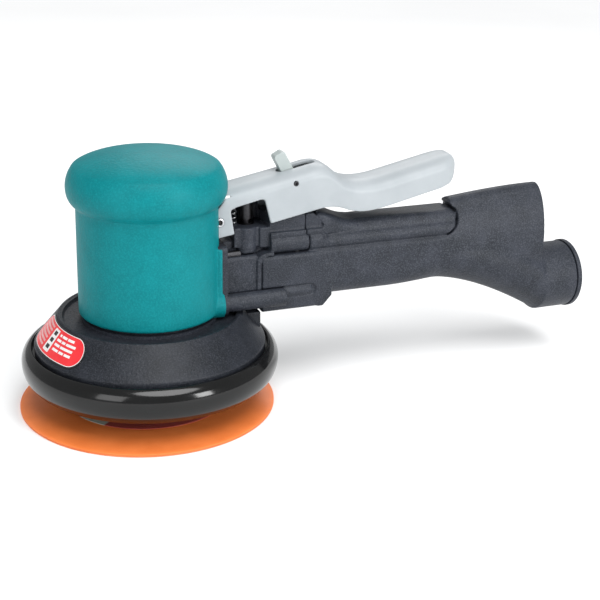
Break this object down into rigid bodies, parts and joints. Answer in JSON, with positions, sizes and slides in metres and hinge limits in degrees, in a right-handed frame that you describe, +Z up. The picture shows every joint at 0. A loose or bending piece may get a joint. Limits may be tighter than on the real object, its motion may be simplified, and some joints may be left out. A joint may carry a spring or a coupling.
{
  "type": "orbital sander",
  "caption": "Air-powered two-hand random orbital sander: round pad, shrouded head with grip cover, long handle with throttle lever and rear exhaust.",
  "frame": {"origin": "on the motor axis, at the working face of the pad", "axes": "+Z up through the head; +X along the handle towards the air inlet; -Y the side with the exhaust side tube"},
  "size_m": [0.3624, 0.152, 0.155],
  "materials": {
    "teal_grip": "pebbled soft moulding, matte",
    "black_moulding": "fine grain, matte",
    "gloss_black": "smooth, glossy",
    "orange_pad": "smooth satin urethane",
    "pad_face_vinyl": "smooth vinyl face",
    "label_ring": "printed ring, satin",
    "red_label": "printed film, satin",
    "lever_grey": "smooth satin paint",
    "tab_white": "smooth satin moulding",
    "steel": "ground",
    "dark_steel": "black oxide",
    "bearing_steel": "polished",
    "cast_alloy": "machined",
    "brass": "turned",
    "phenolic": "woven laminate, matte",
    "glass_fibre_plate": "laminate, matte",
    "seal_rubber": "matte",
    "felt": "fibrous"
  },
  "bodies": {
    "root": {"lock_ring": "steel", "lower_end_plate": "cast_alloy", "upper_end_plate": "cast_alloy", "motor_cylinder": "cast_alloy", "locating_pin": "dark_steel", "motor_bearing_outer_rings": "bearing_steel", "preload_washer": "steel", "motor_housing": "black_moulding", "grip_cover": "teal_grip", "shroud": "black_moulding", "shroud_label": "red_label", "overskirt_ring": "gloss_black", "handle_gasket": "seal_rubber", "handle_screws": "dark_steel", "handle_body": "black_moulding", "grip_screws": "dark_steel", "exhaust_tube": "black_moulding", "muffler_felt": "felt", "exhaust_cap": "black_moulding", "inlet_bushing": "brass", "inlet_screen": "steel", "valve_housing": "black_moulding", "stem_bushing": "dark_steel", "valve_seat": "seal_rubber", "valve_spring": "steel", "valve_plug": "brass", "stem_seal": "seal_rubber", "lever_spring": "steel", "lever_pin": "steel"},
    "pad": {"pad_face": "pad_face_vinyl", "pad_body": "orange_pad", "pad_label": "label_ring", "pad_hub_plate": "glass_fibre_plate", "pad_rivets": "steel", "pad_stud": "steel", "pad_spindle": "steel", "spindle_bearing_inner_rings": "bearing_steel", "bearing_spacer": "steel", "dust_shield": "steel", "spindle_washer": "steel", "spindle_screw": "dark_steel"},
    "spindle_balls": {"spindle_ball_sets": "bearing_steel"},
    "rotor": {"balancer_shaft": "dark_steel", "rotor": "cast_alloy", "rotor_key": "steel", "rotor_vanes": "phenolic", "motor_bearing_inner_rings": "bearing_steel", "spindle_bearing_outer_rings": "bearing_steel", "spindle_snap_ring": "dark_steel"},
    "motor_balls": {"motor_ball_sets": "bearing_steel"},
    "lever": {"throttle_lever": "lever_grey", "lock_pin": "dark_steel", "lock_spring": "steel"},
    "lock": {"lock_tab": "tab_white"},
    "stem": {"valve_stem": "steel"}
  },
  "joints": [
    {"name": "rotor_spin", "type": "hinge", "parent": "root", "child": "rotor", "pos_m": [0, 0, 0.1], "axis": [0, 0, 1], "continuous": true},
    {"name": "motor_balls_roll", "type": "hinge", "parent": "root", "child": "motor_balls", "pos_m": [0, 0, 0.1], "axis": [0, 0, 1], "continuous": true},
    {"name": "pad_spin", "type": "hinge", "parent": "rotor", "child": "pad", "pos_m": [-0.0024, 0, 0.02], "axis": [0, 0, 1], "continuous": true},
    {"name": "spindle_balls_roll", "type": "hinge", "parent": "rotor", "child": "spindle_balls", "pos_m": [-0.0024, 0, 0.02], "axis": [0, 0, 1], "continuous": true},
    {"name": "lever_press", "type": "hinge", "parent": "root", "child": "lever", "pos_m": [0.0388, 0, 0.1123], "axis": [0, 1, 0], "range_deg": [0, 7], "stiffness_Nm_per_rad": 1.2, "springref_deg": -6.88, "deforming": ["lever_spring"]},
    {"name": "lock_swing", "type": "hinge", "parent": "lever", "child": "lock", "pos_m": [0.0858, 0, 0.1314], "axis": [0, 1, 0], "range_deg": [0, 49], "deforming": ["lock_spring"]},
    {"name": "stem_press", "type": "slide", "parent": "root", "child": "stem", "axis": [0, 0, -1], "range_m": [0, 0.0026], "deforming": ["valve_spring"]}
  ],
  "couplings": [
    {"joint": "motor_balls_roll", "follows": "rotor_spin", "ratio": 0.384},
    {"joint": "spindle_balls_roll", "follows": "pad_spin", "ratio": 0.384},
    {"joint": "stem_press", "follows": "lever_press", "m_per_rad": 0.0212},
    {"joint": "lock_swing", "follows": "lever_press", "ratio": 7}
  ]
}
